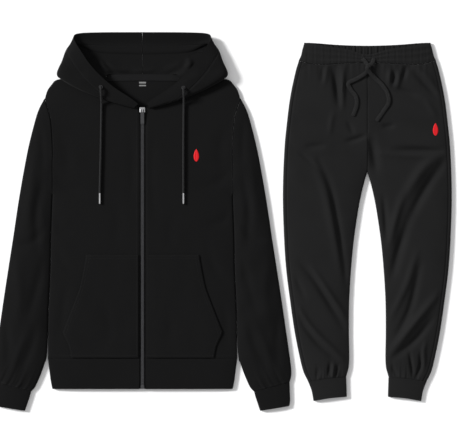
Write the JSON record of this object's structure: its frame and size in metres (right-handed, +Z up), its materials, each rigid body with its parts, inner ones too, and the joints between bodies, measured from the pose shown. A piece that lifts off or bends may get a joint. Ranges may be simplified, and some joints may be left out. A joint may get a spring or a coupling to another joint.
{
  "type": "tracksuit",
  "caption": "Black zip hoodie with kangaroo pockets and a drawcord hood, and charcoal joggers with cuffed legs and a tied waist, laid flat side by side.",
  "frame": {"origin": "middle of the overall box on the floor, between the two garments", "axes": "+Z up from the floor, +Y up the garments towards hood and waist, +X to the right as seen from above, from the hoodie to the joggers"},
  "size_m": [1.1442, 0.9449, 0.0354],
  "materials": {
    "hoodie_fleece": "matt brushed fleece",
    "joggers_fleece": "matt brushed fleece",
    "tape": "woven tape",
    "cord": "braided cord",
    "nickel": "satin nickel"
  },
  "bodies": {
    "garments": {"aglet_left": "nickel", "aglet_right": "nickel", "drawcord_left": "cord", "drawcord_right": "cord", "eyelet_left": "nickel", "eyelet_right": "nickel", "hem_band": "hoodie_fleece", "hood_folds_left": "hoodie_fleece", "hood_folds_right": "hoodie_fleece", "hood_left": "hoodie_fleece", "hood_right": "hoodie_fleece", "hoodie_back": "hoodie_fleece", "hoodie_front_left": "hoodie_fleece", "hoodie_front_right": "hoodie_fleece", "joggers_back_left": "joggers_fleece", "joggers_back_right": "joggers_fleece", "joggers_front_left": "joggers_fleece", "joggers_front_right": "joggers_fleece", "leg_cuff_left": "joggers_fleece", "leg_cuff_right": "joggers_fleece", "neck_tape": "tape", "pocket_left": "hoodie_fleece", "pocket_right": "hoodie_fleece", "sleeve_cuff_left": "hoodie_fleece", "sleeve_cuff_right": "hoodie_fleece", "sleeve_left": "hoodie_fleece", "sleeve_right": "hoodie_fleece", "tie_left": "cord", "tie_right": "cord", "waistband": "joggers_fleece", "zip_foot_box": "nickel", "zip_slider": "nickel", "zip_tape_left": "tape", "zip_tape_right": "tape"},
    "pull_tab": {"zip_pull": "nickel"}
  },
  "joints": [
    {"name": "zip_pull_hinge", "type": "hinge", "parent": "garments", "child": "pull_tab", "pos_m": [-0.2004, 0.2786, 0.0162], "axis": [-1, 0, 0], "range_deg": [0, 160]}
  ]
}
